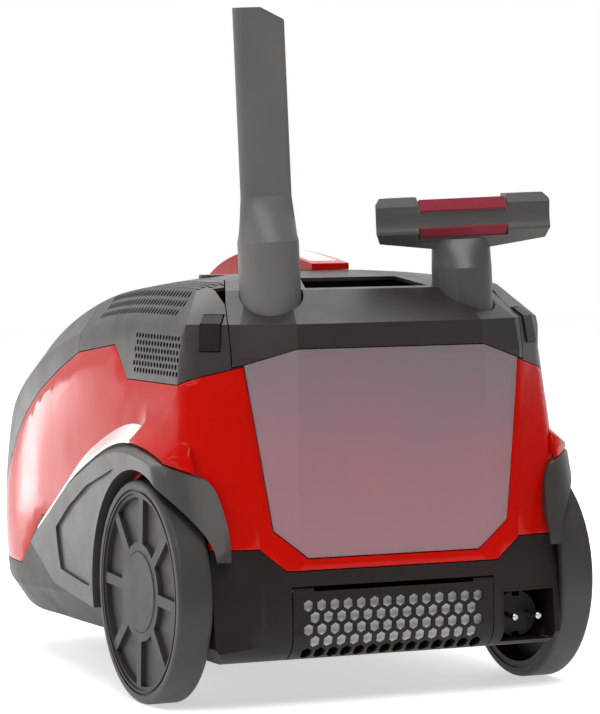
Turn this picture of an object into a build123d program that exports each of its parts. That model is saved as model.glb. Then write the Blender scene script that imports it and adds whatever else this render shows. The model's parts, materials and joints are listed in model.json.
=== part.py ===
from build123d import *
import math
import os

os.makedirs("parts", exist_ok=True)

# Canister vacuum cleaner. Millimetres, +Z up, +Y forward, +X right.
# Depths are counted forward from the rear face; the origin is on the floor under the middle.

# Body envelope
LENGTH = 490.0
BODY_HALF = 150.0
ROOF_Z = 308.0
FLOOR_Z = 34.0
WALL = 2.5
SEAM = 0.8
DOME_FROM = 130.0
NOSE_Z = 90.0
NOSE_FROM = 300.0
SHOULDER_LOW = (10.0, 36.0)
SHOULDER_TOP = (30.0, 11.0)
REAR_ROUND = 20.0
STATIONS = [0, 0.133, 0.265, 0.388, 0.51, 0.633, 0.745, 0.847, 0.929, 0.976, 1]

# Rear face
FACET_A = (73.5, 0.0)
FACET_B = (111.0, 18.0)
FACET_C = (150.0, 50.0)
FACET_FAR = (152.0, 51.6)
FACET_Z = 250.0
CORNER_LEVELS = [(30.0, (102.0, 0.5), (152.0, 1.6), 12.0), (100.0, (102.0, 3.0), (152.0, 15.0), 26.0),
                 (FACET_Z, FACET_B, FACET_FAR, 38.0)]
CORNER_STOPS = [30.0, 100.0, 150.0, 200.0, FACET_Z]
RIDGE_Z = 273.0
RIDGE_IN = 4.0
SHELF_Z = 296.0
SHELF_IN = 36.0
LID_DEPTH = 102.0
LID_HALF = 115.0
LID_BEND = (28.0, 49.0)

# Dust tank
TANK_TOP = 256.0
TANK_TOP_HALF = 73.5
TANK_CORNER = (108.0, 245.0)
TANK_LOW_CORNER = (92.0, 128.0)
TANK_BOTTOM = (67.0, 108.0)
TANK_DEPTH = 92.0
TANK_WALL = 2.4
TANK_GAP = 1.0
CRADLE_T = 2.4
CRADLE_D = TANK_DEPTH + 1.6
SLOT = [(49, 42), (38, 76)]

# Wheels
WHEEL_R = 80.5
WHEEL_DEPTH = 83.6
WHEEL_OUT = 164.0
TYRE_W = 26.0
WHEEL_IN = WHEEL_OUT - TYRE_W
RIM_R = 74.0
HUB_R = 29.5
AXLE_R = 5.0
RUN_FIT = 0.05
SPOKES = 8
SPOKE_W = 8.0
POCKET = 5.0
ARCH_R = 88.0
ARCH_LOW = 60.0
WELL_IN = WHEEL_IN - 1.5
WELL_R = ARCH_R - 1.5
FENDER_IN = 126.0
FLANK_IN = 143.0
FENDER_STEP = 160.0
FENDER_OUT = 166.0
FENDER_WALL = 3.0
FENDER_FLARE = 5.0

# Front caster
CASTER_DEPTH = 400.0
CASTER_R = 20.0
CASTER_TRAIL = 14.0
CASTER_W = 18.0
CASTER_AXLE_D = CASTER_DEPTH - CASTER_TRAIL
CASTER_AXLE_R = 3.0
CUP_R = 44.0
CUP_Z = 52.0
SCREWS = [(58, 70), (-58, 70), (112, 335), (-112, 335), (84, 372), (-84, 372)]

# Tools carried on the lid
TOOL_X = 76.5
TOOL_DEPTH = 40.0
TOOL_R = 22.0
TOOL_FIT = 1.0
TOOL_LEAN = 2.1
SOCKET_FLOOR = 262.0
LEAN_Z = SOCKET_FLOOR + 14
CREVICE_TOP = 497.0
BLADE_W = 39.0
BLADE_T = 8.4
BRUSH_Z = 346.0
BRUSH_HALF = 64.0
BRUSH_TURN = 16.0
STRIP_HALF = 31.5

# Exhaust door
DOOR_HALF = 79.0
DOOR_TOP = 84.0
DOOR_T = 2.4
HEX_PITCH = 10.3
HEX_FLAT = 7.6
HEX_COLUMNS = 14
HEX_ROWS = 5
HINGE_D = 2.6
HINGE_Z = DOOR_TOP + 0.6
HINGE_PIN_R = 1.2
PIN_IN = DOOR_HALF - 16
FILTER_HALF = 75.0

# Power cord
PLUG_X = 109.5
PLUG_Z = 55.5
PLUG_R = 16.8
PIN_SPACING = 19.0
PIN_R = 2.4
CORD_R = 3.5
PLUG_FACE = 24.0
BAY = (88.0, 131.2, 38.0, 75.0)
BAY_D = 64.0
REEL_DEPTH = 255.0
REEL_WIND_R = 50.0
REEL_FLANGE_R = 58.0
REEL_W = 40.0
REEL_Z = PLUG_Z + REEL_WIND_R
REEL_X0 = PLUG_X - REEL_W / 2
REEL_X1 = PLUG_X + REEL_W / 2

# Motor and air path
MOTOR_X = -62.0
MOTOR_Z = 146.0
MOTOR_R = 42.0
FAN_R = 50.0
MOTOR_FROM = 128.0
MOTOR_LEN = 92.0
MOTOR_TO = MOTOR_FROM + MOTOR_LEN
SADDLES = ((MOTOR_FROM + 12, MOTOR_FROM + 22), (MOTOR_TO - 22, MOTOR_TO - 12))
HOSE_Z = 200.0
HOSE_R = 19.0
HOSE_OUT = 474.0

# Vents, handle and buttons
VENT_END = 258.0
TOP_HALF = 87.0
VENT_PITCH = 5.8
VENT_HOLE = 3.9
LATCH_W = 15.0
LATCH_H = 25.0
LATCH_Z = 267.0
LATCH_PROUD = 1.2
LATCH_DEEP = 3.5
HANDLE_HALF = 15.0
HANDLE_FROM = 106.0
HANDLE_TO = 322.0
GRIP_TOP = [(HANDLE_FROM, 313), (150, 318.5), (200, 321.5), (255, 316.5), (300, 303), (HANDLE_TO, 291)]
GRIP_LOW = [(278, 290), (250, 302), (200, 308.5), (152, 306.5), (131, 304)]
INLAY_T = 1.4
INLAY_TOP = [(118, 314.3), (150, 318.5), (200, 321.5), (236, 319.2)]
RECESS_HALF = 48.0
RECESS_FROM = 130.0
RECESS_TO = 288.0
RECESS_FLOOR = 262.0
RECESS_T = 2.2
BUTTON_X = 68.0
BUTTON_DEPTH = 165.0
BUTTON_R = 12.0
BUTTON_TOP = 304.6
BUTTON_TRAVEL = 3.0

# Side view lines, as depth and height
VENT_LOW = [(-8, 264), (14, 264), (15, 244), (50, 230), (148, 230), (180, 254), (258, 245)]
STRIP_LOW = [(302, 229), (340, 212), (372, 193), (398, 170), (430, 134), (462, 78)]
RED_LOW = [(-8, 115), (326, 115), (382, 72), (500, 72)]
FENDER_TOP = [(0, 138), (10, 156), (26, 168), (50, 177), (72, 181.5), (113, 184), (148, 179), (182, 168),
              (234, 146), (268, 126), (294, 111), (312, 99)]
FENDER_FOOT = [(258, 70), (196, 63)]
FENDER_PANEL = [(104, 169), (131, 165), (182, 150), (222, 131), (250, 113), (246, 97), (240, 82), (191, 76),
                (150, 73), (105, 120)]
FENDER_PLAN = [(120, -1), (139, 3.2), (149, 8), (160, 17.5), (168, 34)]
FENDER_BROW = [(122, 110), (126, 132), (129, 150), (134, 162), (147, 170), (178, 175)]
FENDER_RAKE = 0.36
ACCENT_TOP = [(111.4, 202), (135, 203), (173, 196), (209, 185), (247, 168), (283, 145),
              (307, 129), (322, 115)]
ACCENT_LOW = [(305, 105.5), (294, 112.6), (268, 127.6), (234, 147.6), (182, 169.6),
              (148, 180.6), (105.8, 186)]
SWELL_TOP = [(20, 172), (34, 188), (52, 198), (76, 204), (110, 205)]
SWELL_LOW = [(103.6, 186), (72, 183.1), (50, 178.6), (26, 169.6), (14, 161)]
LIP = 2.2


def at(depth):
    return depth - LENGTH / 2


def cross(depth):
    return Plane(origin=(0, at(depth), 0), x_dir=(1, 0, 0), z_dir=(0, -1, 0))


def both_sides(points):
    return points + [(-x, v) for x, v in reversed(points)]


def side_prism(points, x_from, x_to):
    with BuildPart() as prism:
        with BuildSketch(Plane.YZ.offset(x_from)):
            with BuildLine():
                Polyline(*[(at(d), z) for d, z in points], close=True)
            make_face()
        extrude(amount=x_to - x_from)
    return prism.part


def plan_prism(points, z_from, z_to):
    with BuildPart() as prism:
        with BuildSketch(Plane.XY.offset(z_from)):
            with BuildLine():
                Polyline(*[(x, at(d)) for x, d in points], close=True)
            make_face()
        extrude(amount=z_to - z_from)
    return prism.part


def rear_prism(points, d_from, d_to):
    with BuildPart() as prism:
        with BuildSketch(cross(d_from)):
            with BuildLine():
                Polyline(*points, close=True)
            make_face()
        extrude(amount=d_from - d_to)
    return prism.part


def block(x0, x1, d0, d1, z0, z1):
    return plan_prism([(x0, d0), (x1, d0), (x1, d1), (x0, d1)], z0, z1)


def rod(x0, x1, depth, z, radius):
    with BuildPart() as bar:
        with BuildSketch(Plane.YZ.offset(x0)):
            with Locations((at(depth), z)):
                Circle(radius)
        extrude(amount=x1 - x0)
    return bar.part


def tube_y(x, z, d0, d1, radius):
    with BuildPart() as bar:
        with BuildSketch(cross(d0)):
            with Locations((x, z)):
                Circle(radius)
        extrude(amount=d0 - d1)
    return bar.part


def post(x, depth, z0, z1, radius):
    with BuildPart() as bar:
        with BuildSketch(Plane.XY.offset(z0)):
            with Locations((x, at(depth))):
                Circle(radius)
        extrude(amount=z1 - z0)
    return bar.part


def keep(name, piece):
    piece.label = name
    export_step(piece, "parts/" + name + ".step")


# Outer form of the body
def half_width(depth):
    run = max(0.0, (depth - NOSE_FROM) / (LENGTH - NOSE_FROM + 10))
    return BODY_HALF * (1 - run ** 4) ** 0.25


def roof(depth):
    run = max(0.0, (depth - DOME_FROM) / (LENGTH - DOME_FROM + 2))
    return NOSE_Z + (ROOF_Z - NOSE_Z) * math.sqrt(1 - run ** 2)


def sill(depth):
    run = max(0.0, (depth - 380) / 110)
    return FLOOR_Z + 40 * run ** 2


def form_section(depth, place, inset):
    wide = half_width(depth) - inset
    low = sill(depth) + inset
    top = roof(depth) - inset
    scale = (roof(depth) - sill(depth)) / (ROOF_Z - FLOOR_Z)
    foot = (wide - 22 * scale, low)
    bilge = (wide - 4 * scale, low + 26 * scale)
    middle = (wide, low + 0.45 * (top - low))
    lower = (wide - SHOULDER_LOW[0] * scale, top - SHOULDER_LOW[1] * scale)
    upper = (wide - SHOULDER_TOP[0] * scale, top - SHOULDER_TOP[1] * scale)
    with BuildSketch(cross(place)) as section:
        with BuildLine():
            Line((-foot[0], low), foot)
            Line(foot, bilge)
            ThreePointArc(bilge, middle, lower)
            Line(lower, upper)
            ThreePointArc(upper, (0, top), (-upper[0], upper[1]))
            Line((-upper[0], upper[1]), (-lower[0], lower[1]))
            ThreePointArc((-lower[0], lower[1]), (-middle[0], middle[1]), (-bilge[0], bilge[1]))
            Line((-bilge[0], bilge[1]), (-foot[0], low))
        make_face()
    return section.sketch


def flank_half(z):
    """Half width of the body at a height, on the arc of its flank."""
    low = (BODY_HALF - 4, FLOOR_Z + 26)
    mid = (BODY_HALF, FLOOR_Z + 0.45 * (ROOF_Z - FLOOR_Z))
    top = (BODY_HALF - SHOULDER_LOW[0], ROOF_Z - SHOULDER_LOW[1])
    spread = 2 * (low[0] * (mid[1] - top[1]) + mid[0] * (top[1] - low[1]) + top[0] * (low[1] - mid[1]))
    sums = [x ** 2 + h ** 2 for x, h in (low, mid, top)]
    x = sums[0] * (mid[1] - top[1]) + sums[1] * (top[1] - low[1]) + sums[2] * (low[1] - mid[1])
    h = sums[0] * (top[0] - mid[0]) + sums[1] * (low[0] - top[0]) + sums[2] * (mid[0] - low[0])
    centre = (x / spread, h / spread)
    reach = math.hypot(mid[0] - centre[0], mid[1] - centre[1])
    return centre[0] + math.sqrt(reach ** 2 - (min(z, FACET_Z) - centre[1]) ** 2)


def corner_at(z):
    """Start and end of the corner facet and its rounding at a height."""
    for lower, upper in zip(CORNER_LEVELS, CORNER_LEVELS[1:]):
        if z <= upper[0]:
            break
    share = min(1.0, (z - lower[0]) / (upper[0] - lower[0]))
    near = [a + (b - a) * share for a, b in zip(lower[1], upper[1])]
    end = [a + (b - a) * share for a, b in zip(lower[2], upper[2])]
    return near, end, lower[3] + (upper[3] - lower[3]) * share


def rear_corner(side, z_from, z_to, inset):
    """What the rounded rear corner takes away between two heights."""
    with BuildPart() as wedge:
        for z in (z_from, z_to):
            near, end, radius = corner_at(z)
            near = (near[0], near[1] + 1.1 * inset)
            end = (end[0], end[1] + 1.3 * inset)
            bend_x = flank_half(z) - 0.6 - inset
            bend_d = near[1] + (bend_x - near[0]) * (end[1] - near[1]) / (end[0] - near[0])
            with BuildSketch(Plane.XY.offset(z)) as plan:
                with BuildLine():
                    Polyline((side * FACET_A[0], at(FACET_A[1] + inset)),
                             (side * near[0], at(near[1])),
                             (side * bend_x, at(bend_d)),
                             (side * (bend_x + 12), at(bend_d + 64)),
                             (side * (BODY_HALF + 25), at(bend_d + 64)),
                             (side * (BODY_HALF + 25), at(-12)),
                             (side * FACET_A[0], at(-12)), close=True)
                make_face()
                corner = plan.vertices().sort_by_distance((side * bend_x, at(bend_d), 0))[0]
                fillet(corner, radius)
        loft(ruled=True)
    return wedge.part


def rear_slope(side, start, end, inset):
    """What the slopes of the lid take away along one run of the rear edge."""
    rows = [(-30, FACET_Z - inset), (inset, FACET_Z - inset), (RIDGE_IN + inset, RIDGE_Z - 0.7 * inset),
            (SHELF_IN + 0.5 * inset, SHELF_Z - inset), (LID_DEPTH + 2, ROOF_Z + 0.6 - inset),
            (LID_DEPTH + 2, ROOF_Z + 37), (-30, ROOF_Z + 37)]
    run = Vector(side * (end[0] - start[0]), end[1] - start[1], 0).normalized()
    inward = Vector(-run.Y, run.X, 0) * (1 if run.X > 0 else -1)
    facing = inward.cross(Vector(0, 0, 1))
    base = Plane(origin=(side * start[0], at(start[1]), 0), x_dir=inward, z_dir=facing)
    with BuildPart() as slope:
        with BuildSketch(base):
            with BuildLine():
                Polyline(*rows, close=True)
            make_face()
        extrude(amount=200, both=True)
    return slope.part


def form(inset):
    rear = at(inset)
    low = FLOOR_Z + inset
    reach = REAR_ROUND - inset
    bend = reach * (1 - math.sqrt(0.5))
    with BuildPart() as solid:
        for share in STATIONS:
            depth = share * LENGTH
            add(form_section(depth, inset + depth * (LENGTH - 2.2 * inset) / LENGTH, inset))
        loft()
        # rear bottom edge rolls under
        with BuildSketch(Plane.YZ.offset(-BODY_HALF - 10)):
            with BuildLine():
                Line((rear - 9, low - 9), (rear - 9, low + reach))
                Line((rear - 9, low + reach), (rear, low + reach))
                ThreePointArc((rear, low + reach), (rear + bend, low + bend), (rear + reach, low))
                Line((rear + reach, low), (rear + reach, low - 9))
                Line((rear + reach, low - 9), (rear - 9, low - 9))
            make_face()
        extrude(amount=2 * BODY_HALF + 20, mode=Mode.SUBTRACT)
        for side in (1, -1):
            # rear corners, upright at the top and nearly flat at the bottom
            stops = CORNER_STOPS + [ROOF_Z + 32]
            for z_from, z_to in zip(stops, stops[1:]):
                add(rear_corner(side, z_from, z_to, inset), mode=Mode.SUBTRACT)
            # rear top slopes, carried round the corner facets
            for start, end in (((0, 0), (1, 0)), (FACET_A, FACET_B), (FACET_B, FACET_C)):
                add(rear_slope(side, start, end, inset), mode=Mode.SUBTRACT)
    return solid.part


outer = form(0)
inner = form(WALL)
with BuildPart() as skin:
    add(outer)
    add(inner, mode=Mode.SUBTRACT)


# Zones that share the skin out between the panels
def lid_plan(gap):
    return [(LID_HALF + gap, -30), (LID_HALF + gap, LID_BEND[0]), (LID_HALF - 7 + gap, LID_BEND[1]),
            (TOP_HALF - 1 + gap, LID_DEPTH + gap)]


def lid_zone(gap):
    low = [(140, 243 - gap), (116, 243 - gap), (TANK_CORNER[0], TANK_CORNER[1] - gap),
           (TANK_TOP_HALF, TANK_TOP - gap)]
    with BuildPart() as zone:
        add(plan_prism(both_sides(lid_plan(gap)), 200, 340))
        add(rear_prism([(140, 340)] + both_sides(low) + [(-140, 340)], -30, 140), mode=Mode.INTERSECT)
    return zone.part


def under_red(gap):
    line = [(d, z + gap) for d, z in RED_LOW]
    notch = [(101.6, 140), (101.6, 114 + gap), (83, 99 + gap)]
    with BuildPart() as zone:
        add(side_prism(line + [(500, 0), (-8, 0)], -200, 200))
        add(rear_prism(both_sides(notch), -30, 60), mode=Mode.SUBTRACT)
    return zone.part


def over_red(gap):
    line = [(d, z + gap) for d, z in VENT_LOW + STRIP_LOW]
    foot = [(466, RED_LOW[-1][1] + gap), (520, RED_LOW[-1][1] + gap)]
    return side_prism(line + foot + [(520, 345), (-8, 345)], -200, 200)


def vent_zone(gap, side):
    x_from = (TOP_HALF - gap) * side
    return block(min(x_from, 200 * side), max(x_from, 200 * side), -20, VENT_END + gap, 200, 345)


def tank_outline(off):
    return [(TANK_CORNER[0] + off, TANK_CORNER[1] + 0.3 * off),
            (TANK_LOW_CORNER[0] + off, TANK_LOW_CORNER[1] - 0.4 * off),
            (TANK_BOTTOM[0] + 0.5 * off, TANK_BOTTOM[1] - off)]


def wells(radius, x_from):
    with BuildPart() as pair:
        add(rod(x_from, 190, WHEEL_DEPTH, WHEEL_R, radius))
        add(rod(-190, -x_from, WHEEL_DEPTH, WHEEL_R, radius))
    return pair.part


clear = form(-0.25)



def along(points):
    return [(at(d), z) for d, z in points]


def raked_corner(side):
    """What is taken off outside the rear corner of the fender, leaning forward with height."""
    with BuildPart() as wedge:
        for z in (60, 220):
            lean = (z - 115) * FENDER_RAKE
            curve = [(side * x, at(d + lean)) for x, d in FENDER_PLAN]
            far = side * (FENDER_OUT + 30)
            with BuildSketch(Plane.XY.offset(z)):
                with BuildLine():
                    Spline(*curve)
                    Polyline(curve[-1], (far, curve[-1][1]), (far, at(-40)), (curve[0][0], at(-40)),
                             curve[0])
                make_face()
        loft(ruled=True)
    return wedge.part


def sloped_band(side, top, low):
    """A band along the top of the fender, sloping down and outward from the flank."""
    lip = [(d, z + LIP) for d, z in reversed(low)]
    with BuildPart() as band:
        for x, edge in ((FLANK_IN, top), (FENDER_STEP + 1, lip)):
            with BuildSketch(Plane.YZ.offset(side * x)):
                with BuildLine():
                    Spline(*along(edge))
                    Line(*along([edge[-1], low[0]]))
                    Spline(*along(low))
                    Line(*along([low[-1], edge[0]]))
                make_face()
        loft(ruled=True)
    return band.part


def swell(side):
    with BuildPart() as piece:
        add(sloped_band(side, SWELL_TOP, SWELL_LOW))
        add(raked_corner(side), mode=Mode.SUBTRACT)
        add(inner, mode=Mode.SUBTRACT)
    return piece.part


# Red body shell
top_rim = [(TANK_CORNER[0] + 2 * TANK_GAP, 300)]
with BuildPart() as body_shell:
    add(skin.part)
    add(under_red(SEAM / 2), mode=Mode.SUBTRACT)
    add(over_red(-SEAM / 2), mode=Mode.SUBTRACT)
    add(lid_zone(SEAM), mode=Mode.SUBTRACT)
    add(rear_prism(both_sides(top_rim + tank_outline(TANK_GAP)), -30, 70), mode=Mode.SUBTRACT)
    add(wells(WELL_R, WELL_IN), mode=Mode.SUBTRACT)
    for side in (1, -1):
        add(swell(side))
keep("body_shell", body_shell.part)

# Red cradle that the tank stands in
with BuildPart() as tank_cradle:
    add(rear_prism(both_sides(tank_outline(TANK_GAP + CRADLE_T)), 0, CRADLE_D + CRADLE_T))
    add(rear_prism(both_sides([(140, 300)] + tank_outline(TANK_GAP)), -10, CRADLE_D), mode=Mode.SUBTRACT)
    add(block(-200, 200, -20, 200, 242.0, 300), mode=Mode.SUBTRACT)
    add(inner, mode=Mode.INTERSECT)
    add(tube_y(0, HOSE_Z, 60, 130, 22), mode=Mode.SUBTRACT)
    add(tube_y(MOTOR_X, MOTOR_Z, 60, 130, 26), mode=Mode.SUBTRACT)
keep("tank_cradle", tank_cradle.part)

# Top cover with a hand recess under the handle
with BuildPart() as bowl:
    add(block(-RECESS_HALF - RECESS_T, RECESS_HALF + RECESS_T, RECESS_FROM - RECESS_T,
              RECESS_TO + RECESS_T, RECESS_FLOOR - RECESS_T, 345))
    add(outer, mode=Mode.INTERSECT)
with BuildPart() as top_cover:
    add(skin.part)
    add(over_red(SEAM / 2), mode=Mode.INTERSECT)
    add(lid_zone(SEAM), mode=Mode.SUBTRACT)
    for side in (1, -1):
        add(vent_zone(SEAM, side), mode=Mode.SUBTRACT)
        add(post(side * BUTTON_X, BUTTON_DEPTH, 280, 320, BUTTON_R + 0.4), mode=Mode.SUBTRACT)
    add(bowl.part)
    add(block(-RECESS_HALF, RECESS_HALF, RECESS_FROM, RECESS_TO, RECESS_FLOOR, 345), mode=Mode.SUBTRACT)
    add(tube_y(0, HOSE_Z, 380, 500, HOSE_R + 8.3), mode=Mode.SUBTRACT)
keep("top_cover", top_cover.part)

# Carry handle arched over the recess, with its inlay
with BuildPart() as seat:
    add(clear)
    add(block(-RECESS_HALF, RECESS_HALF, RECESS_FROM + 0.3, RECESS_TO - 0.3, RECESS_FLOOR, 345),
        mode=Mode.SUBTRACT)
with BuildPart() as carry_handle:
    with BuildSketch(Plane.YZ.offset(-HANDLE_HALF)):
        with BuildLine():
            Spline(*along(GRIP_TOP))
            Polyline(*along([GRIP_TOP[-1], (HANDLE_TO, 262), (290, 262), (290, 282), GRIP_LOW[0]]))
            Spline(*along(GRIP_LOW))
            Polyline(*along([GRIP_LOW[-1], (129, 300), (HANDLE_FROM, 300), GRIP_TOP[0]]))
        make_face()
    extrude(amount=2 * HANDLE_HALF)
    add(seat.part, mode=Mode.SUBTRACT)
with BuildPart() as handle_inlay:
    with BuildSketch(Plane.YZ.offset(-HANDLE_HALF + 4)):
        with BuildLine():
            Spline(*along([(d, z + 0.4) for d, z in INLAY_TOP]))
            Line(*along([(236, 319.6), (236, 319.2 - INLAY_T)]))
            Spline(*along([(d, z - INLAY_T) for d, z in reversed(INLAY_TOP)]))
            Line(*along([(118, 314.3 - INLAY_T), (118, 314.7)]))
        make_face()
    extrude(amount=2 * HANDLE_HALF - 8)
with BuildPart() as inlay_slot:
    add(handle_inlay.part)
with BuildPart() as carry_handle_cut:
    add(carry_handle.part)
    add(inlay_slot.part, mode=Mode.SUBTRACT)
keep("carry_handle", carry_handle_cut.part)
keep("handle_inlay", handle_inlay.part)

# Push buttons and what they work
for side, name in ((1, "power_button"), (-1, "rewind_button")):
    with BuildPart() as button:
        add(post(side * BUTTON_X, BUTTON_DEPTH, 296.0, BUTTON_TOP, BUTTON_R))
        add(post(side * BUTTON_X, BUTTON_DEPTH, 294.5, 298.0, BUTTON_R + 2.5))
        add(post(side * BUTTON_X, BUTTON_DEPTH, 286.0, 295.0, 3))
    keep(name, button.part)
for side, name in ((1, "power_switch"), (-1, "rewind_brake")):
    x_near = side * (RECESS_HALF + RECESS_T + 0.1)
    x_far = side * (BUTTON_X + 8)
    with BuildPart() as switch:
        add(block(min(x_near, x_far), max(x_near, x_far), BUTTON_DEPTH - 9, BUTTON_DEPTH + 9, 264,
                  286.0 - BUTTON_TRAVEL - 0.4))
    keep(name, switch.part)

# Hose inlet collar and the duct to the tank
with BuildPart() as hose_inlet:
    add(tube_y(0, HOSE_Z, 372, HOSE_OUT, HOSE_R + 8))
    add(tube_y(0, HOSE_Z, 372, 378, HOSE_R + 14))
    add(tube_y(0, HOSE_Z, 370, 500, HOSE_R), mode=Mode.SUBTRACT)
keep("hose_inlet", hose_inlet.part)
with BuildPart() as inlet_duct:
    add(tube_y(0, HOSE_Z, CRADLE_D + CRADLE_T + 0.1, 371.7, 24))
    add(tube_y(0, HOSE_Z, 60, 400, 21.6), mode=Mode.SUBTRACT)
keep("inlet_duct", inlet_duct.part)

# Perforated vent cover with its latch on the corner facet
facet = Vector(FACET_C[0] - FACET_B[0], FACET_C[1] - FACET_B[1], 0).normalized()
latch_at = Vector(FACET_B[0], at(FACET_B[1]), 0) + facet * 22
latch_at = Vector(latch_at.X, latch_at.Y, LATCH_Z)
latch_plane = Plane(origin=latch_at, x_dir=facet, z_dir=facet.cross(Vector(0, 0, 1)))
with BuildPart() as latch_right:
    with BuildSketch(latch_plane.offset(-24)):
        Rectangle(LATCH_W, LATCH_H)
    extrude(amount=30)
    add(form(-LATCH_PROUD), mode=Mode.INTERSECT)
    add(form(LATCH_DEEP), mode=Mode.SUBTRACT)
    add(plan_prism(both_sides(lid_plan(LATCH_DEEP)), 200, 340), mode=Mode.SUBTRACT)
with BuildPart() as latch_hole:
    with BuildSketch(latch_plane.offset(-30)):
        Rectangle(LATCH_W + 1, LATCH_H + 1)
    extrude(amount=40)
with BuildPart() as vent_holes:
    with BuildSketch(Plane.YZ.offset(110)):
        for row in range(int(30 / (VENT_PITCH * 0.866)) + 1):
            for column in range(int(88 / VENT_PITCH)):
                d = 53 + (column + 0.5 * (row % 2)) * VENT_PITCH
                z = 237.5 + row * VENT_PITCH * 0.866
                with Locations((at(d), z)):
                    Circle(VENT_HOLE / 2)
    extrude(amount=60)
    with BuildSketch(Plane.XY.offset(270)):
        for row in range(int(36 / (VENT_PITCH * 0.866)) + 1):
            for column in range(int(160 / VENT_PITCH)):
                d = 76 + (column + 0.5 * (row % 2)) * VENT_PITCH
                x = 98 + row * VENT_PITCH * 0.866
                with Locations((x, at(d))):
                    Circle(VENT_HOLE / 2)
    extrude(amount=50)
with BuildPart() as vent_right:
    add(skin.part)
    add(over_red(SEAM / 2), mode=Mode.INTERSECT)
    add(vent_zone(0, 1), mode=Mode.INTERSECT)
    add(lid_zone(SEAM), mode=Mode.SUBTRACT)
    add(rear_prism(both_sides(top_rim + tank_outline(TANK_GAP)), -30, 70), mode=Mode.SUBTRACT)
    add(latch_hole.part, mode=Mode.SUBTRACT)
    add(vent_holes.part, mode=Mode.SUBTRACT)
with BuildPart() as vent_left:
    mirror(vent_right.part, about=Plane.YZ)
with BuildPart() as latch_left:
    mirror(latch_right.part, about=Plane.YZ)
keep("vent_cover_right", vent_right.part)
keep("vent_cover_left", vent_left.part)
keep("vent_latch_right", latch_right.part)
keep("vent_latch_left", latch_left.part)

# Fender over the wheel, and the bright strip above it


def fender_lines(shift, arch=ARCH_R, lift=0.0):
    rear = 0.7 * shift
    tip = FENDER_TOP[-1]
    top = [(rear, FENDER_TOP[0][1] - 0.3 * shift)]
    top += [(d + (0.5 * shift if d < 30 else 0.0), z - shift) for d, z in FENDER_TOP[1:-1]]
    top += [(tip[0] - 0.9 * shift - 2 * lift, tip[1] - 0.5 * shift)]
    arch_rear = WHEEL_R + math.sqrt(arch ** 2 - (WHEEL_DEPTH - rear) ** 2)
    arch_front = WHEEL_DEPTH + math.sqrt(arch ** 2 - (WHEEL_R - ARCH_LOW - lift) ** 2)
    Spline(*along(top))
    Polyline(*along([top[-1], (FENDER_FOOT[0][0] - 0.5 * shift - lift, FENDER_FOOT[0][1] + lift),
                     (FENDER_FOOT[1][0], FENDER_FOOT[1][1] + lift), (arch_front, ARCH_LOW + lift)]))
    ThreePointArc(*along([(arch_front, ARCH_LOW + lift), (WHEEL_DEPTH, WHEEL_R + arch), (rear, arch_rear)]))
    Line(*along([(rear, arch_rear), top[0]]))


brow_outside = [FENDER_BROW[-1], (FENDER_BROW[-1][0], 240), (FENDER_BROW[0][0], 240), FENDER_BROW[0]]
for side, word in ((1, "right"), (-1, "left")):
    with BuildPart() as fender_panel:
        add(side_prism(FENDER_PANEL, side * (FENDER_OUT - 2), side * (FENDER_OUT + 10)))
        add(rod(side * (FENDER_OUT - 5), side * (FENDER_OUT + 20), WHEEL_DEPTH, WHEEL_R, ARCH_R + 7),
            mode=Mode.SUBTRACT)
    with BuildPart() as fender_hollow:
        with BuildSketch(Plane.YZ.offset(side * FENDER_IN)):
            with BuildLine():
                fender_lines(1.4 * FENDER_WALL, ARCH_R + FENDER_WALL, FENDER_WALL)
            make_face()
        extrude(amount=side * (FENDER_STEP - FENDER_IN))
        add(block(-200, 200, -20, 48, 0, 300), mode=Mode.SUBTRACT)
    with BuildPart() as fender_brow:
        with BuildSketch(cross(-20)):
            with BuildLine():
                Spline(*[(side * x, z) for x, z in FENDER_BROW])
                Polyline(*[(side * x, z) for x, z in brow_outside])
            make_face()
        extrude(amount=-46)
    with BuildPart() as fender:
        with BuildSketch(Plane.YZ.offset(side * FENDER_IN)):
            with BuildLine():
                fender_lines(0)
            make_face()
        extrude(amount=side * (FENDER_STEP - FENDER_IN))
        with BuildSketch(Plane.YZ.offset(side * FENDER_STEP)):
            with BuildLine():
                fender_lines(0)
            make_face()
        with BuildSketch(Plane.YZ.offset(side * FENDER_OUT)):
            with BuildLine():
                fender_lines(FENDER_FLARE)
            make_face()
        loft(ruled=True)
        add(fender_hollow.part, mode=Mode.SUBTRACT)
        add(raked_corner(side), mode=Mode.SUBTRACT)
        add(fender_brow.part, mode=Mode.SUBTRACT)
        add(fender_panel.part, mode=Mode.SUBTRACT)
        add(clear, mode=Mode.SUBTRACT)
    keep("fender_" + word, fender.part)
    with BuildPart() as accent:
        add(sloped_band(side, ACCENT_TOP, ACCENT_LOW))
        add(clear, mode=Mode.SUBTRACT)
    keep("accent_strip_" + word, accent.part)

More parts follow.
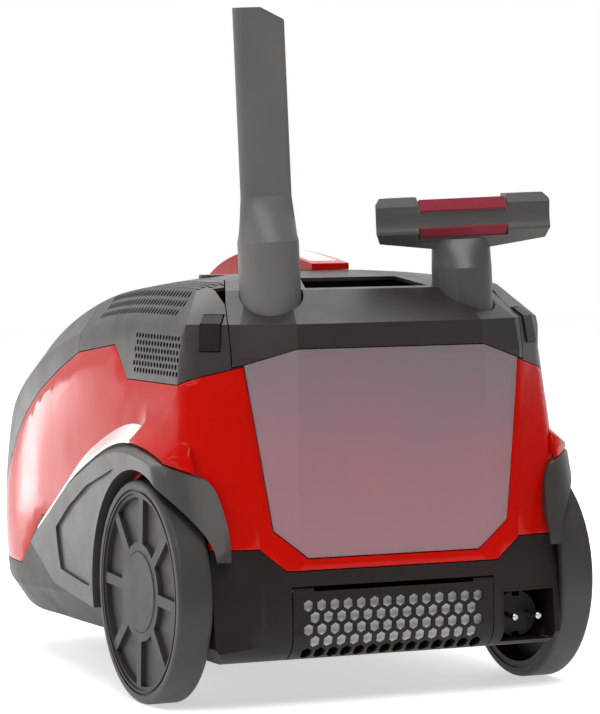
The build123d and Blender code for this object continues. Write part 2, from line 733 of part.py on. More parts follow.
# Exhaust door, hinged at its top edge
bend = 1 - math.sqrt(0.5)
with BuildPart() as exhaust_door:
    with BuildSketch(Plane.YZ.offset(-DOOR_HALF)):
        low = FLOOR_Z
        inn = REAR_ROUND - DOOR_T
        with BuildLine():
            Line((at(0), DOOR_TOP), (at(0), low + REAR_ROUND))
            ThreePointArc((at(0), low + REAR_ROUND), (at(REAR_ROUND * bend), low + REAR_ROUND * bend),
                          (at(REAR_ROUND), low))
            Polyline((at(REAR_ROUND), low), (at(REAR_ROUND + 4), low), (at(REAR_ROUND + 4), low + DOOR_T),
                     (at(REAR_ROUND), low + DOOR_T))
            ThreePointArc((at(REAR_ROUND), low + DOOR_T),
                          (at(DOOR_T + inn * bend), low + DOOR_T + inn * bend),
                          (at(DOOR_T), low + REAR_ROUND))
            Polyline((at(DOOR_T), low + REAR_ROUND), (at(DOOR_T), DOOR_TOP), (at(0), DOOR_TOP))
        make_face()
    extrude(amount=2 * DOOR_HALF)
    for x in (PIN_IN, -DOOR_HALF):
        add(rod(x, x + 16, HINGE_D, HINGE_Z, HINGE_D))
        add(rod(x - 2, x + 18, HINGE_D, HINGE_Z, HINGE_PIN_R + RUN_FIT), mode=Mode.SUBTRACT)
    with BuildSketch(cross(-3)):
        for row in range(HEX_ROWS):
            for column in range(HEX_COLUMNS - row % 2):
                x = (column - (HEX_COLUMNS - 1 - row % 2) / 2) * HEX_PITCH
                with Locations((x, 74 - row * 8.6)):
                    RegularPolygon(HEX_FLAT / 2, 6, major_radius=False, rotation=30)
    extrude(amount=-26, mode=Mode.SUBTRACT)
keep("exhaust_door", exhaust_door.part)
with BuildPart() as door_pins:
    add(rod(PIN_IN + 1, DOOR_HALF + 3, HINGE_D, HINGE_Z, HINGE_PIN_R))
    add(rod(-DOOR_HALF - 3, -PIN_IN - 1, HINGE_D, HINGE_Z, HINGE_PIN_R))
keep("door_pins", door_pins.part)
with BuildPart() as exhaust_filter:
    add(side_prism([(5.5, 80), (5.5, 54), (9, 46), (16, 42), (30, 42), (30, 80)],
                   -FILTER_HALF, FILTER_HALF))
    for fold in range(24):
        x = -FILTER_HALF + 3.1 + fold * 6.1
        add(block(x, x + 2.6, 22, 31, 40, 81), mode=Mode.SUBTRACT)
keep("exhaust_filter", exhaust_filter.part)

# Plug bay, plug and lead
with BuildPart() as bay_floor:
    add(skin.part)
    add(block(BAY[0] - 10, 200, 19.5, BAY_D + 10, 0, 110), mode=Mode.INTERSECT)
with BuildPart() as plug_bay:
    add(block(BAY[0] - 1.8, BAY[1] + 1.8, 0, BAY_D + 2, BAY[2] - 1.4, BAY[3] + 1.8))
    add(block(BAY[0], BAY[1], -5, BAY_D, BAY[2], BAY[3]), mode=Mode.SUBTRACT)
    add(outer, mode=Mode.INTERSECT)
    add(bay_floor.part, mode=Mode.SUBTRACT)
    add(tube_y(PLUG_X, PLUG_Z, BAY_D - 5, BAY_D + 5, 6), mode=Mode.SUBTRACT)
keep("plug_bay", plug_bay.part)
with BuildPart() as cord_bush:
    add(tube_y(PLUG_X, PLUG_Z, BAY_D + 0.2, BAY_D + 2, 6))
    add(tube_y(PLUG_X, PLUG_Z, BAY_D + 2.1, BAY_D + 5, 9))
    add(tube_y(PLUG_X, PLUG_Z, BAY_D + 2, BAY_D + 2.1, 6))
    add(tube_y(PLUG_X, PLUG_Z, BAY_D - 5, BAY_D + 9, CORD_R + 0.4), mode=Mode.SUBTRACT)
keep("cord_bush", cord_bush.part)
with BuildPart() as plug_body:
    with BuildSketch(cross(PLUG_FACE)):
        with Locations((PLUG_X, PLUG_Z)):
            Circle(PLUG_R)
    with BuildSketch(cross(PLUG_FACE + 22)):
        with Locations((PLUG_X, PLUG_Z)):
            Circle(PLUG_R - 0.8)
    loft()
    with BuildSketch(cross(PLUG_FACE + 22)):
        with Locations((PLUG_X, PLUG_Z)):
            Circle(PLUG_R - 0.8)
    with BuildSketch(cross(BAY_D - 3)):
        with Locations((PLUG_X, PLUG_Z)):
            Circle(CORD_R + 2.5)
    loft()
    for side in (1, -1):
        add(block(PLUG_X - 3, PLUG_X + 3, PLUG_FACE - 1, PLUG_FACE + 14,
                  PLUG_Z + side * (PLUG_R - 1.8) - 2, PLUG_Z + side * (PLUG_R - 1.8) + 2),
            mode=Mode.SUBTRACT)
        add(tube_y(PLUG_X + side * PIN_SPACING / 2, PLUG_Z, PLUG_FACE - 1, PLUG_FACE + 8, PIN_R),
            mode=Mode.SUBTRACT)
    add(tube_y(PLUG_X, PLUG_Z, BAY_D - 12, BAY_D, CORD_R), mode=Mode.SUBTRACT)
keep("plug_body", plug_body.part)
with BuildPart() as plug_pins:
    for side in (1, -1):
        add(tube_y(PLUG_X + side * PIN_SPACING / 2, PLUG_Z, PLUG_FACE - 19, PLUG_FACE + 8, PIN_R))
    chamfer(plug_pins.edges().filter_by(GeomType.CIRCLE).group_by(Axis.Y)[0], 0.8)
keep("plug_pins", plug_pins.part)
with BuildPart() as cord_lead:
    add(tube_y(PLUG_X, PLUG_Z, BAY_D - 12, REEL_DEPTH, CORD_R))
keep("cord_lead", cord_lead.part)

# Cord reel
with BuildPart() as reel_drum:
    add(rod(REEL_X0, REEL_X1, REEL_DEPTH, REEL_Z, 20))
    add(rod(REEL_X0, REEL_X0 + 2.2, REEL_DEPTH, REEL_Z, REEL_FLANGE_R))
    add(rod(REEL_X1 - 2.2, REEL_X1, REEL_DEPTH, REEL_Z, REEL_FLANGE_R))
    add(rod(REEL_X0 - 2, REEL_X1 + 2, REEL_DEPTH, REEL_Z, AXLE_R + RUN_FIT), mode=Mode.SUBTRACT)
keep("reel_drum", reel_drum.part)
with BuildPart() as cord_winding:
    add(rod(REEL_X0 + 2.3, REEL_X1 - 2.3, REEL_DEPTH, REEL_Z, REEL_WIND_R - CORD_R - 0.4))
    add(rod(REEL_X0, REEL_X1, REEL_DEPTH, REEL_Z, 20.1), mode=Mode.SUBTRACT)
keep("cord_winding", cord_winding.part)
with BuildPart() as reel_axle:
    add(rod(REEL_X0 - 6, REEL_X1 - 3, REEL_DEPTH, REEL_Z, AXLE_R))
    add(rod(REEL_X0 - 2.8, REEL_X0 - 0.4, REEL_DEPTH, REEL_Z, 11))
keep("reel_axle", reel_axle.part)

# Motor, fan and filters
with BuildPart() as motor_can:
    add(tube_y(MOTOR_X, MOTOR_Z, MOTOR_FROM, MOTOR_TO, MOTOR_R))
    add(tube_y(MOTOR_X, MOTOR_Z, MOTOR_FROM + 3, MOTOR_TO - 3, MOTOR_R - 4), mode=Mode.SUBTRACT)
    add(tube_y(MOTOR_X, MOTOR_Z, MOTOR_FROM - 5, MOTOR_TO + 5, 4 + RUN_FIT), mode=Mode.SUBTRACT)
keep("motor_can", motor_can.part)
with BuildPart() as motor_rotor:
    add(tube_y(MOTOR_X, MOTOR_Z, MOTOR_FROM - 14, MOTOR_TO + 2, 4))
    add(tube_y(MOTOR_X, MOTOR_Z, MOTOR_FROM + 14, MOTOR_TO - 22, 28))
    add(tube_y(MOTOR_X, MOTOR_Z, MOTOR_TO - 18, MOTOR_TO - 8, 14))
keep("motor_rotor", motor_rotor.part)
with BuildPart() as motor_fan:
    add(tube_y(MOTOR_X, MOTOR_Z, MOTOR_FROM - 5, MOTOR_FROM - 3, FAN_R - 6))
    add(tube_y(MOTOR_X, MOTOR_Z, MOTOR_FROM - 14, MOTOR_FROM - 4, 10))
    with BuildSketch(cross(MOTOR_FROM - 14)):
        with Locations((MOTOR_X, MOTOR_Z)):
            with PolarLocations(26, 10, rotate=True):
                Rectangle(30, 1.8, rotation=32)
    extrude(amount=-9.5)
    add(tube_y(MOTOR_X, MOTOR_Z, MOTOR_FROM - 20, MOTOR_FROM, 4), mode=Mode.SUBTRACT)
keep("motor_fan", motor_fan.part)
with BuildPart() as fan_housing:
    add(tube_y(MOTOR_X, MOTOR_Z, MOTOR_FROM - 19, MOTOR_FROM - 0.1, FAN_R))
    add(tube_y(MOTOR_X, MOTOR_Z, MOTOR_FROM - 16.5, MOTOR_FROM - 1.5, FAN_R - 2.5), mode=Mode.SUBTRACT)
    add(tube_y(MOTOR_X, MOTOR_Z, MOTOR_FROM - 25, MOTOR_FROM - 10, 22), mode=Mode.SUBTRACT)
    add(tube_y(MOTOR_X, MOTOR_Z, MOTOR_FROM - 10, MOTOR_FROM + 5, 30), mode=Mode.SUBTRACT)
keep("fan_housing", fan_housing.part)
with BuildPart() as pre_filter:
    add(tube_y(MOTOR_X, MOTOR_Z, CRADLE_D + CRADLE_T + 0.1, MOTOR_FROM - 19.1, 34))
keep("pre_motor_filter", pre_filter.part)
for (d0, d1), name in zip(SADDLES, ("motor_mount_front", "motor_mount_rear")):
    with BuildPart() as mount:
        add(tube_y(MOTOR_X, MOTOR_Z, d0, d1, MOTOR_R + 4))
        add(tube_y(MOTOR_X, MOTOR_Z, d0 - 2, d1 + 2, MOTOR_R + 0.05), mode=Mode.SUBTRACT)
    keep(name, mount.part)

# Lower chassis: skin, wheel wells, axle bosses, saddles and seats
with BuildPart() as lining_feet:
    add(wells(ARCH_R + 1, WELL_IN - 2.5))
    add(wells(WELL_R, WELL_IN), mode=Mode.SUBTRACT)
    add(outer, mode=Mode.INTERSECT)
    add(under_red(-SEAM / 2), mode=Mode.INTERSECT)
with BuildPart() as linings:
    add(wells(ARCH_R + 1, WELL_IN - 2.5))
    add(wells(WELL_R, WELL_IN), mode=Mode.SUBTRACT)
    add(inner, mode=Mode.INTERSECT)
    add(lining_feet.part)
with BuildPart() as first_cuts:
    add(block(WELL_IN, 200, -20, WHEEL_DEPTH, 0, 125))
    add(block(-200, -WELL_IN, -20, WHEEL_DEPTH, 0, 125))
    add(wells(WELL_R, WELL_IN))
    add(block(-DOOR_HALF - 0.8, DOOR_HALF + 0.8, -5, REAR_ROUND + 5.2, 20, HINGE_Z + 3.2))
    add(block(BAY[0] - 2, BAY[1] + 2, -5, 20, BAY[2] - 1.6, BAY[3] + 2))
with BuildPart() as fittings:
    for side in (1, -1):
        # ribs that hold the filter, hinge lugs, axle bosses
        rib = (side * (FILTER_HALF + 0.3), side * (FILTER_HALF + 2.9))
        add(block(min(rib), max(rib), 27, 40, FLOOR_Z + 1, 82))
        lug = (side * (DOOR_HALF + 0.8), side * (DOOR_HALF + 5))
        add(block(min(lug), max(lug), 1, 9, HINGE_Z - 5, HINGE_Z + 5))
        boss = (side * 110, side * (WELL_IN - 1))
        add(rod(min(boss), max(boss), WHEEL_DEPTH, WHEEL_R, 14))
    add(block(-FILTER_HALF - 2.9, FILTER_HALF + 2.9, 30.3, 33, FLOOR_Z + 1, 60))
    # motor saddles and reel wall
    for d0, d1 in SADDLES:
        add(block(MOTOR_X - 54, MOTOR_X + 54, d0, d1, FLOOR_Z + 1, MOTOR_Z))
    add(block(REEL_X0 - 6, REEL_X0 - 3, REEL_DEPTH - 20, REEL_DEPTH + 20, FLOOR_Z + 1, REEL_Z + 18))
    # caster cup, stem boss and screw bosses
    add(post(0, CASTER_DEPTH, FLOOR_Z + 0.5, CUP_Z + 2.5, CUP_R + 2.5))
    add(post(0, CASTER_DEPTH, CUP_Z, CUP_Z + 30, 12))
    for x, d in SCREWS:
        add(post(x, d, sill(d) + 1, 58, 5))
with BuildPart() as last_cuts:
    add(post(0, CASTER_DEPTH, 0, CUP_Z, CUP_R))
    add(post(0, CASTER_DEPTH, 0, CUP_Z + 26, 4 + RUN_FIT))
    for d0, d1 in SADDLES:
        add(tube_y(MOTOR_X, MOTOR_Z, d0 - 2, d1 + 2, MOTOR_R + 4.05))
    for side in (1, -1):
        add(rod(min(side * 50, side * 90), max(side * 50, side * 90), HINGE_D, HINGE_Z, HINGE_PIN_R))
        add(rod(min(side * 100, side * 150), max(side * 100, side * 150), WHEEL_DEPTH, WHEEL_R, AXLE_R))
    add(rod(REEL_X0 - 10, REEL_X0, REEL_DEPTH, REEL_Z, AXLE_R))
    for x, d in SCREWS:
        add(post(x, d, 0, 54, 1.8))
with BuildPart() as lower_chassis:
    add(skin.part)
    add(under_red(-SEAM / 2), mode=Mode.INTERSECT)
    add(first_cuts.part, mode=Mode.SUBTRACT)
    add(linings.part)
    add(fittings.part)
    add(last_cuts.part, mode=Mode.SUBTRACT)
keep("lower_chassis", lower_chassis.part)
with BuildPart() as screws:
    for x, d in SCREWS:
        add(post(x, d, sill(d) - 1.7, sill(d) - 0.1, 3.6))
        add(post(x, d, sill(d) - 0.2, 52, 1.7))
keep("chassis_screws", screws.part)

# Dust tank, lid, seal and cone
with BuildPart() as tank_hollow:
    add(inner)
    add(rear_prism(both_sides([(TANK_CORNER[0] - TANK_WALL, 290)] + tank_outline(-TANK_WALL)),
                   -10, TANK_DEPTH - TANK_WALL), mode=Mode.INTERSECT)
    add(plan_prism(both_sides(lid_plan(-TANK_GAP - TANK_WALL)), 90, 300), mode=Mode.INTERSECT)
with BuildPart() as dust_tank:
    add(outer)
    add(rear_prism(both_sides([(TANK_TOP_HALF, TANK_TOP - SEAM), (TANK_CORNER[0], TANK_CORNER[1] - SEAM)]
                              + tank_outline(0)[1:]), -10, TANK_DEPTH), mode=Mode.INTERSECT)
    add(plan_prism(both_sides(lid_plan(-TANK_GAP)), 90, 300), mode=Mode.INTERSECT)
    add(tank_hollow.part, mode=Mode.SUBTRACT)
    add(tube_y(0, HOSE_Z, TANK_DEPTH - 10, TANK_DEPTH + 10, 20), mode=Mode.SUBTRACT)
    add(tube_y(MOTOR_X, MOTOR_Z, TANK_DEPTH - 10, TANK_DEPTH + 10, 24), mode=Mode.SUBTRACT)
keep("dust_tank", dust_tank.part)
with BuildPart() as lid_pocket:
    add(inner)
    add(plan_prism(both_sides([(112, -20), (112, 29), (105, 48), (TOP_HALF - 4.5, LID_DEPTH - 3)]),
                   SOCKET_FLOOR, 340), mode=Mode.INTERSECT)
    for side in (1, -1):
        add(post(side * TOOL_X, TOOL_DEPTH, 200, 340, TOOL_R + TOOL_FIT + 2.2), mode=Mode.SUBTRACT)
with BuildPart() as tank_lid:
    add(outer)
    add(lid_zone(0), mode=Mode.INTERSECT)
    add(lid_pocket.part, mode=Mode.SUBTRACT)
    add(plan_prism(both_sides(SLOT), SOCKET_FLOOR + 5, 340), mode=Mode.SUBTRACT)
    for side in (1, -1):
        add(post(side * TOOL_X, TOOL_DEPTH, SOCKET_FLOOR, 340, TOOL_R + TOOL_FIT), mode=Mode.SUBTRACT)
keep("tank_lid", tank_lid.part)
with BuildPart() as tank_seal:
    add(block(-70, 70, 8, 86, TANK_TOP - 4, TANK_TOP - 0.1))
    add(block(-66, 66, 12, 82, TANK_TOP - 5, TANK_TOP), mode=Mode.SUBTRACT)
keep("tank_seal", tank_seal.part)
with BuildPart() as cyclone_cone:
    for z, radius in ((140, 20), (236, 34)):
        with BuildSketch(Plane.XY.offset(z)):
            with Locations((0, at(46))):
                Circle(radius)
    loft()
    add(post(0, 46, 235, TANK_TOP - 0.1, 24))
    for z, radius in ((130, 15), (232, 30)):
        with BuildSketch(Plane.XY.offset(z)):
            with Locations((0, at(46))):
                Circle(radius)
    loft(mode=Mode.SUBTRACT)
keep("cyclone_cone", cyclone_cone.part)

# Rear wheels on steel stub axles


def across(side, x0, x1, radius):
    return rod(side * x0, side * x1, WHEEL_DEPTH, WHEEL_R, radius)


def spoke_bar(side, turn):
    mid = (RIM_R + HUB_R) / 2
    centre = (at(WHEEL_DEPTH) + mid * math.cos(turn), WHEEL_R + mid * math.sin(turn))
    with BuildPart() as bar:
        with BuildSketch(Plane.YZ.offset(side * (WHEEL_OUT - 15))):
            with Locations(centre):
                Rectangle(RIM_R, SPOKE_W, rotation=math.degrees(turn))
        extrude(amount=side * 20)
    return bar.part


for side, word in ((1, "right"), (-1, "left")):
    with BuildPart() as tyre:
        add(across(side, WHEEL_IN, WHEEL_OUT, WHEEL_R))
        fillet(tyre.edges(), 3.5)
        add(across(side, WHEEL_IN - 5, WHEEL_OUT + 5, RIM_R), mode=Mode.SUBTRACT)
    keep("wheel_" + word + "_tyre", tyre.part)
    with BuildPart() as pockets:
        add(across(side, WHEEL_OUT - POCKET, WHEEL_OUT + 2, RIM_R - 6))
        add(across(side, WHEEL_OUT - POCKET - 2, WHEEL_OUT + 4, HUB_R + 6), mode=Mode.SUBTRACT)
        for spoke in range(SPOKES):
            add(spoke_bar(side, (spoke + 0.08) * 2 * math.pi / SPOKES), mode=Mode.SUBTRACT)
    with BuildPart() as disc:
        add(across(side, WHEEL_IN + 1, WHEEL_OUT - 1.5, RIM_R - 0.05))
        add(across(side, WHEEL_OUT - 3, WHEEL_OUT, RIM_R - 2))
        add(across(side, WHEEL_OUT - 3, WHEEL_OUT + 2, RIM_R - 3.2), mode=Mode.SUBTRACT)
        add(across(side, WHEEL_OUT - 4, WHEEL_OUT - 1.5, RIM_R - 3))
        add(pockets.part, mode=Mode.SUBTRACT)
        add(across(side, WHEEL_IN - 2, WHEEL_OUT - POCKET - 3, RIM_R - 5), mode=Mode.SUBTRACT)
        add(across(side, WHEEL_IN + 2, WHEEL_OUT - 5, 12))
        add(across(side, WHEEL_IN - 5, WHEEL_OUT - 6, AXLE_R + RUN_FIT), mode=Mode.SUBTRACT)
        add(across(side, WHEEL_OUT - 4.1, WHEEL_OUT + 5, HUB_R + 0.05), mode=Mode.SUBTRACT)
    keep("wheel_" + word + "_disc", disc.part)
    with BuildPart() as cap:
        add(across(side, WHEEL_OUT - 4, WHEEL_OUT - 0.8, HUB_R))
        chamfer(cap.edges().filter_by_position(Axis.X, side * (WHEEL_OUT - 0.8) - 0.1,
                                               side * (WHEEL_OUT - 0.8) + 0.1), 1.0)
    keep("wheel_" + word + "_cap", cap.part)
    with BuildPart() as axle:
        add(across(side, 112, WHEEL_OUT - 8.4, AXLE_R))
    keep("wheel_" + word + "_axle", axle.part)

# Front caster
with BuildPart() as caster_fork:
    add(post(0, CASTER_DEPTH, CUP_Z - 5.4, CUP_Z - 0.4, 22))
    add(post(0, CASTER_DEPTH, CUP_Z - 2, CUP_Z + 24, 4))
    for side in (1, -1):
        x = (side * (CASTER_W / 2 + 0.8), side * (CASTER_W / 2 + 4))
        add(side_prism([(CASTER_AXLE_D - 6, CASTER_R - 6), (CASTER_AXLE_D + 6, CASTER_R - 6),
                        (CASTER_DEPTH + 14, CUP_Z - 3), (CASTER_AXLE_D - 4, CUP_Z - 3)], min(x), max(x)))
    add(rod(-20, 20, CASTER_AXLE_D, CASTER_R, CASTER_AXLE_R), mode=Mode.SUBTRACT)
    add(rod(-CASTER_W / 2 - 0.8, CASTER_W / 2 + 0.8, CASTER_AXLE_D, CASTER_R, CASTER_R + 2),
        mode=Mode.SUBTRACT)
keep("caster_fork", caster_fork.part)
with BuildPart() as caster_wheel:
    add(rod(-CASTER_W / 2, CASTER_W / 2, CASTER_AXLE_D, CASTER_R, CASTER_R))
    fillet(caster_wheel.edges(), 3)
    add(rod(-20, 20, CASTER_AXLE_D, CASTER_R, CASTER_AXLE_R + RUN_FIT), mode=Mode.SUBTRACT)
keep("caster_wheel", caster_wheel.part)
with BuildPart() as caster_axle:
    add(rod(-CASTER_W / 2 - 4, CASTER_W / 2 + 4, CASTER_AXLE_D, CASTER_R, CASTER_AXLE_R))
keep("caster_axle", caster_axle.part)

# Tools, built upright on their own axis and leant over in the socket


def leant(piece, x):
    return piece.moved(Location((x, at(TOOL_DEPTH), LEAN_Z), (0, -TOOL_LEAN, 0)))


foot = SOCKET_FLOOR - LEAN_Z + 1.2
tip = CREVICE_TOP - LEAN_Z
scoop = 345 - LEAN_Z


def crevice_form(inset):
    half = TOOL_R - inset
    wide = BLADE_W - 2 * inset
    thick = BLADE_T - 2 * inset
    low = foot - (5 if inset else 0)
    end = tip + (9 if inset else 0)
    with BuildPart() as shape:
        with BuildSketch(Plane.XY.offset(low)):
            Circle(half)
        extrude(amount=scoop - 14 - low)
        with BuildSketch(Plane.XY.offset(scoop - 14)):
            Circle(half)
        with BuildSketch(Plane.XY.offset(scoop + 18)):
            SlotOverall(wide, thick)
        loft()
        with BuildSketch(Plane.XY.offset(scoop + 18)):
            SlotOverall(wide, thick)
        extrude(amount=end - scoop - 18)
        with BuildSketch(Plane.XZ.offset(-40)):
            with BuildLine():
                Polyline((-40, low - 9), (40, low - 9), (40, scoop), (BLADE_W / 2 + 0.1, scoop + 30),
                         (BLADE_W / 2 + 0.1, tip - 10), (0, end), (-BLADE_W / 2 - 0.1, end), (-40, end),
                         close=True)
            make_face()
        extrude(amount=80, mode=Mode.INTERSECT)
    return shape.part


with BuildPart() as crevice_tool:
    add(crevice_form(0))
    add(crevice_form(2.2), mode=Mode.SUBTRACT)
with BuildPart() as crevice_placed:
    add(leant(crevice_tool.part, -TOOL_X))
keep("crevice_tool", crevice_placed.part)
head = BRUSH_Z - LEAN_Z
with BuildPart() as brush:
    with BuildSketch(Plane.YZ.offset(-BRUSH_HALF)):
        with BuildLine():
            Polyline((-15, head - 10), (-9, head - 16.5), (-6, head - 22), (8, head - 22), (17, head - 12),
                     (17, head + 9), (10, head + 16.5), (-9, head + 16.5), (-15, head + 10), close=True)
        make_face()
    extrude(amount=2 * BRUSH_HALF)
    # wings rise from the neck to the ends, and the ends draw in towards the mouth
    with BuildSketch(Plane.XZ.offset(-40)):
        with BuildLine():
            Polyline((-BRUSH_HALF + 3, head - 16.5), (-20, head - 22), (20, head - 22),
                     (BRUSH_HALF - 3, head - 16.5), (BRUSH_HALF, head - 9), (BRUSH_HALF, head + 12),
                     (BRUSH_HALF - 4, head + 16.5), (-BRUSH_HALF + 4, head + 16.5), (-BRUSH_HALF, head + 12),
                     (-BRUSH_HALF, head - 9), close=True)
        make_face()
    extrude(amount=80, mode=Mode.INTERSECT)
    with BuildSketch(Plane.XY.offset(head - 30)):
        with BuildLine():
            Polyline((-BRUSH_HALF, -16), (BRUSH_HALF, -16), (BRUSH_HALF, -12), (BRUSH_HALF - 17, 18),
                     (-BRUSH_HALF + 17, 18), (-BRUSH_HALF, -12), close=True)
        make_face()
    extrude(amount=60, mode=Mode.INTERSECT)
    # shallow hollow along the face
    with BuildSketch(Plane.YZ.offset(-BRUSH_HALF - 5)):
        with Locations((-38.6, head)):
            Circle(25)
    extrude(amount=2 * BRUSH_HALF + 10, mode=Mode.SUBTRACT)
    # seats of the lint strips
    with BuildSketch(Plane.YZ.offset(-STRIP_HALF - 1.5)):
        with BuildLine():
            Polyline((-30, head + 5.5), (-14.4, head + 5.5), (-8.5, head + 13.4), (30, head + 13.4),
                     (30, head + 30), (-30, head + 30), close=True)
        make_face()
        with BuildLine():
            Polyline((-30, head - 5.5), (-14.4, head - 5.5), (-8.5, head - 13.4), (-30, head - 13.4),
                     close=True)
        make_face()
    extrude(amount=2 * STRIP_HALF + 3, mode=Mode.SUBTRACT)
    with BuildSketch(Plane.XY.offset(foot)):
        Circle(TOOL_R)
    extrude(amount=head - 36 - foot)
    with BuildSketch(Plane.XY.offset(head - 36)):
        Circle(TOOL_R)
    with BuildSketch(Plane.XY.offset(head - 15)):
        RectangleRounded(42, 22, 10)
    loft()
for sign, word in ((1, "upper"), (-1, "lower")):
    rows = [(-14.4, 5.5), (-16, 6.7), (-10.1, 14.6), (-8.5, 13.4)]
    with BuildPart() as strip:
        with BuildSketch(Plane.YZ.offset(-STRIP_HALF)):
            with BuildLine():
                Polyline(*[(y, head + sign * z) for y, z in rows], close=True)
            make_face()
        extrude(amount=2 * STRIP_HALF)
        add(brush.part, mode=Mode.SUBTRACT)
    with BuildPart() as strip_placed:
        add(leant(strip.part.rotate(Axis.Z, -BRUSH_TURN), TOOL_X))
    keep("lint_strip_" + word, strip_placed.part)
with BuildPart() as brush_hollow:
    add(brush.part)
    with BuildSketch(Plane.XY.offset(foot - 5)):
        Circle(TOOL_R - 2.2)
    extrude(amount=head - 32 - foot, mode=Mode.SUBTRACT)
    with BuildSketch(Plane.XY.offset(head - 40)):
        RectangleRounded(34, 14, 5)
    extrude(amount=44, mode=Mode.SUBTRACT)
    with BuildSketch(Plane.XZ.offset(-30)):
        with Locations((0, head)):
            Rectangle(2 * BRUSH_HALF - 44, 7)
    extrude(amount=25, mode=Mode.SUBTRACT)
with BuildPart() as brush_placed:
    add(leant(brush_hollow.part.rotate(Axis.Z, -BRUSH_TURN), TOOL_X))
keep("upholstery_tool", brush_placed.part)
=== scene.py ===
import json
import math

import bpy
from mathutils import Matrix, Vector

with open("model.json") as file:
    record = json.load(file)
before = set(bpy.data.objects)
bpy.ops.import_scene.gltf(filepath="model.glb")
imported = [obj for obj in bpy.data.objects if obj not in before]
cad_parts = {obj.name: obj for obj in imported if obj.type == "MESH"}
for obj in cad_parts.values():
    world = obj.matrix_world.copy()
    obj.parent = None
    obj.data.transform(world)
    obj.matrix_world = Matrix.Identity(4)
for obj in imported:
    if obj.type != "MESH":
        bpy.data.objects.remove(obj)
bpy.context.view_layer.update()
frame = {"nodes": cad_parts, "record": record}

NODES = frame["nodes"]

# Camera: placed and turned as the photograph was taken
EYE = Vector((-1.0349, -2.4154, 0.3696))
YAW = math.radians(23.92)
PITCH = math.radians(2.88)
ROLL = math.radians(-0.53)
FRAME_H = 714
FOCAL_PX = 3384.0
SENSOR = 36.0
FAR_CLIP = 50


def make_camera():
    """Camera turned by yaw, pitch and roll, with the focal length given in pixels of the photograph."""
    forward = Vector((math.sin(YAW) * math.cos(PITCH), math.cos(YAW) * math.cos(PITCH), -math.sin(PITCH)))
    level = Vector((math.cos(YAW), -math.sin(YAW), 0))
    upright = level.cross(forward)
    right = level * math.cos(ROLL) + upright * math.sin(ROLL)
    up = upright * math.cos(ROLL) - level * math.sin(ROLL)
    data = bpy.data.cameras.new("view_camera")
    data.sensor_fit = "VERTICAL"
    data.sensor_height = SENSOR
    data.lens = FOCAL_PX / FRAME_H * SENSOR
    data.clip_end = FAR_CLIP
    camera = bpy.data.objects.new("view_camera", data)
    turn = Matrix((right, up, -forward)).transposed().to_4x4()
    camera.matrix_world = Matrix.Translation(EYE) @ turn
    bpy.context.scene.collection.objects.link(camera)
    bpy.context.scene.camera = camera


make_camera()


# Noise scales for slow changes of shade, changes of gloss and brushed lines
SLOW_SCALE = 9.0
GLOSS_SCALE = 38.0
BRUSHED_SCALE = 260.0
COAT_ROUGH = 0.04
# How strongly grain, lines and nap raise the surface
GRAIN_RISE = 0.35
LINE_RISE = 0.2
NAP_RISE = 0.8
LINE_DEPTH = 0.00002
LINE_SHADE = 0.86
# Frosted tank: grey tint, and a warm tint that is painted show-through of the red behind; heights between
# which the painted show-through turns to grey, and how far noise shifts them
TANK_GREY = (0.50, 0.41, 0.46)
TANK_PAINTED_SHOWTHROUGH = (0.70, 0.40, 0.45)
PAINTED_SHOWTHROUGH_TOP = (0.215, 0.285)
PAINTED_SHOWTHROUGH_DRIFT = 0.07
TANK_ROUGH = (0.36, 0.46)


class Paint:
    """One node material, with the few nodes that all of them share."""

    def __init__(self, name):
        self.mat = bpy.data.materials.new(name)
        self.mat.use_nodes = True
        self.tree = self.mat.node_tree
        self.bsdf = self.tree.nodes["Principled BSDF"]
        self.place = self.node("ShaderNodeTexCoord").outputs["Object"]

    def node(self, kind, **props):
        made = self.tree.nodes.new(kind)
        for key, value in props.items():
            setattr(made, key, value)
        return made

    def link(self, source, target):
        self.tree.links.new(source, target)

    def set(self, **values):
        names = {"rough": "Roughness", "metal": "Metallic", "coat": "Coat Weight",
                 "coat_rough": "Coat Roughness", "spec": "Specular IOR Level", "ior": "IOR",
                 "clear": "Transmission Weight", "sheen": "Sheen Weight", "sheen_rough": "Sheen Roughness"}
        for key, value in values.items():
            self.bsdf.inputs[names[key]].default_value = value

    def noise(self, scale, detail=2.0, stretch=None):
        made = self.node("ShaderNodeTexNoise")
        made.inputs["Scale"].default_value = scale
        made.inputs["Detail"].default_value = detail
        if stretch:
            mapping = self.node("ShaderNodeMapping")
            mapping.inputs["Scale"].default_value = stretch
            self.link(self.place, mapping.inputs["Vector"])
            self.link(mapping.outputs["Vector"], made.inputs["Vector"])
        else:
            self.link(self.place, made.inputs["Vector"])
        return made.outputs["Fac"]

    def spread(self, source, low, high, start=0.3, end=0.7):
        made = self.node("ShaderNodeMapRange")
        made.inputs["From Min"].default_value = start
        made.inputs["From Max"].default_value = end
        made.inputs["To Min"].default_value = low
        made.inputs["To Max"].default_value = high
        self.link(source, made.inputs["Value"])
        return made.outputs["Result"]

    def tint(self, source, low, high, start=0.3, end=0.7):
        made = self.node("ShaderNodeValToRGB")
        made.color_ramp.elements[0].position = start
        made.color_ramp.elements[0].color = (*low, 1.0)
        made.color_ramp.elements[1].position = end
        made.color_ramp.elements[1].color = (*high, 1.0)
        self.link(source, made.inputs["Fac"])
        return made.outputs["Color"]

    def bump(self, source, depth, strength):
        made = self.node("ShaderNodeBump")
        made.inputs["Distance"].default_value = depth
        made.inputs["Strength"].default_value = strength
        self.link(source, made.inputs["Height"])
        self.link(made.outputs["Normal"], self.bsdf.inputs["Normal"])


